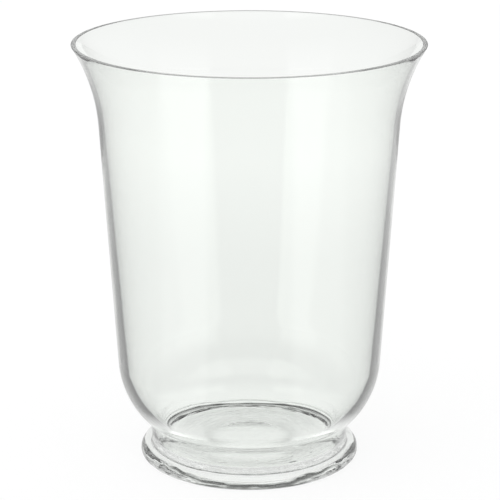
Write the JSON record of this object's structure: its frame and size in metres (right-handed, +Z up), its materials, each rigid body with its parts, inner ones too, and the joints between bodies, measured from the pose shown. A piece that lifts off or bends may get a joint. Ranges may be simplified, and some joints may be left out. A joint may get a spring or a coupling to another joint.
{
  "type": "footed flared glass vase",
  "caption": "Tall round vase of clear glass with a flared mouth, a long nearly straight wall, a rounded heel and a thick round foot, for cut flowers or a candle.",
  "frame": {"origin": "centre of the foot's base, on the surface that the vase stands on", "axes": "+Z up along the vase's axis; the vase is round, so +X and +Y point anywhere"},
  "size_m": [0.2278, 0.2278, 0.28],
  "materials": {
    "clear_glass": "polished, smooth, very slightly wavy"
  },
  "bodies": {
    "root": {"bowl": "clear_glass", "foot": "clear_glass"}
  },
  "joints": []
}
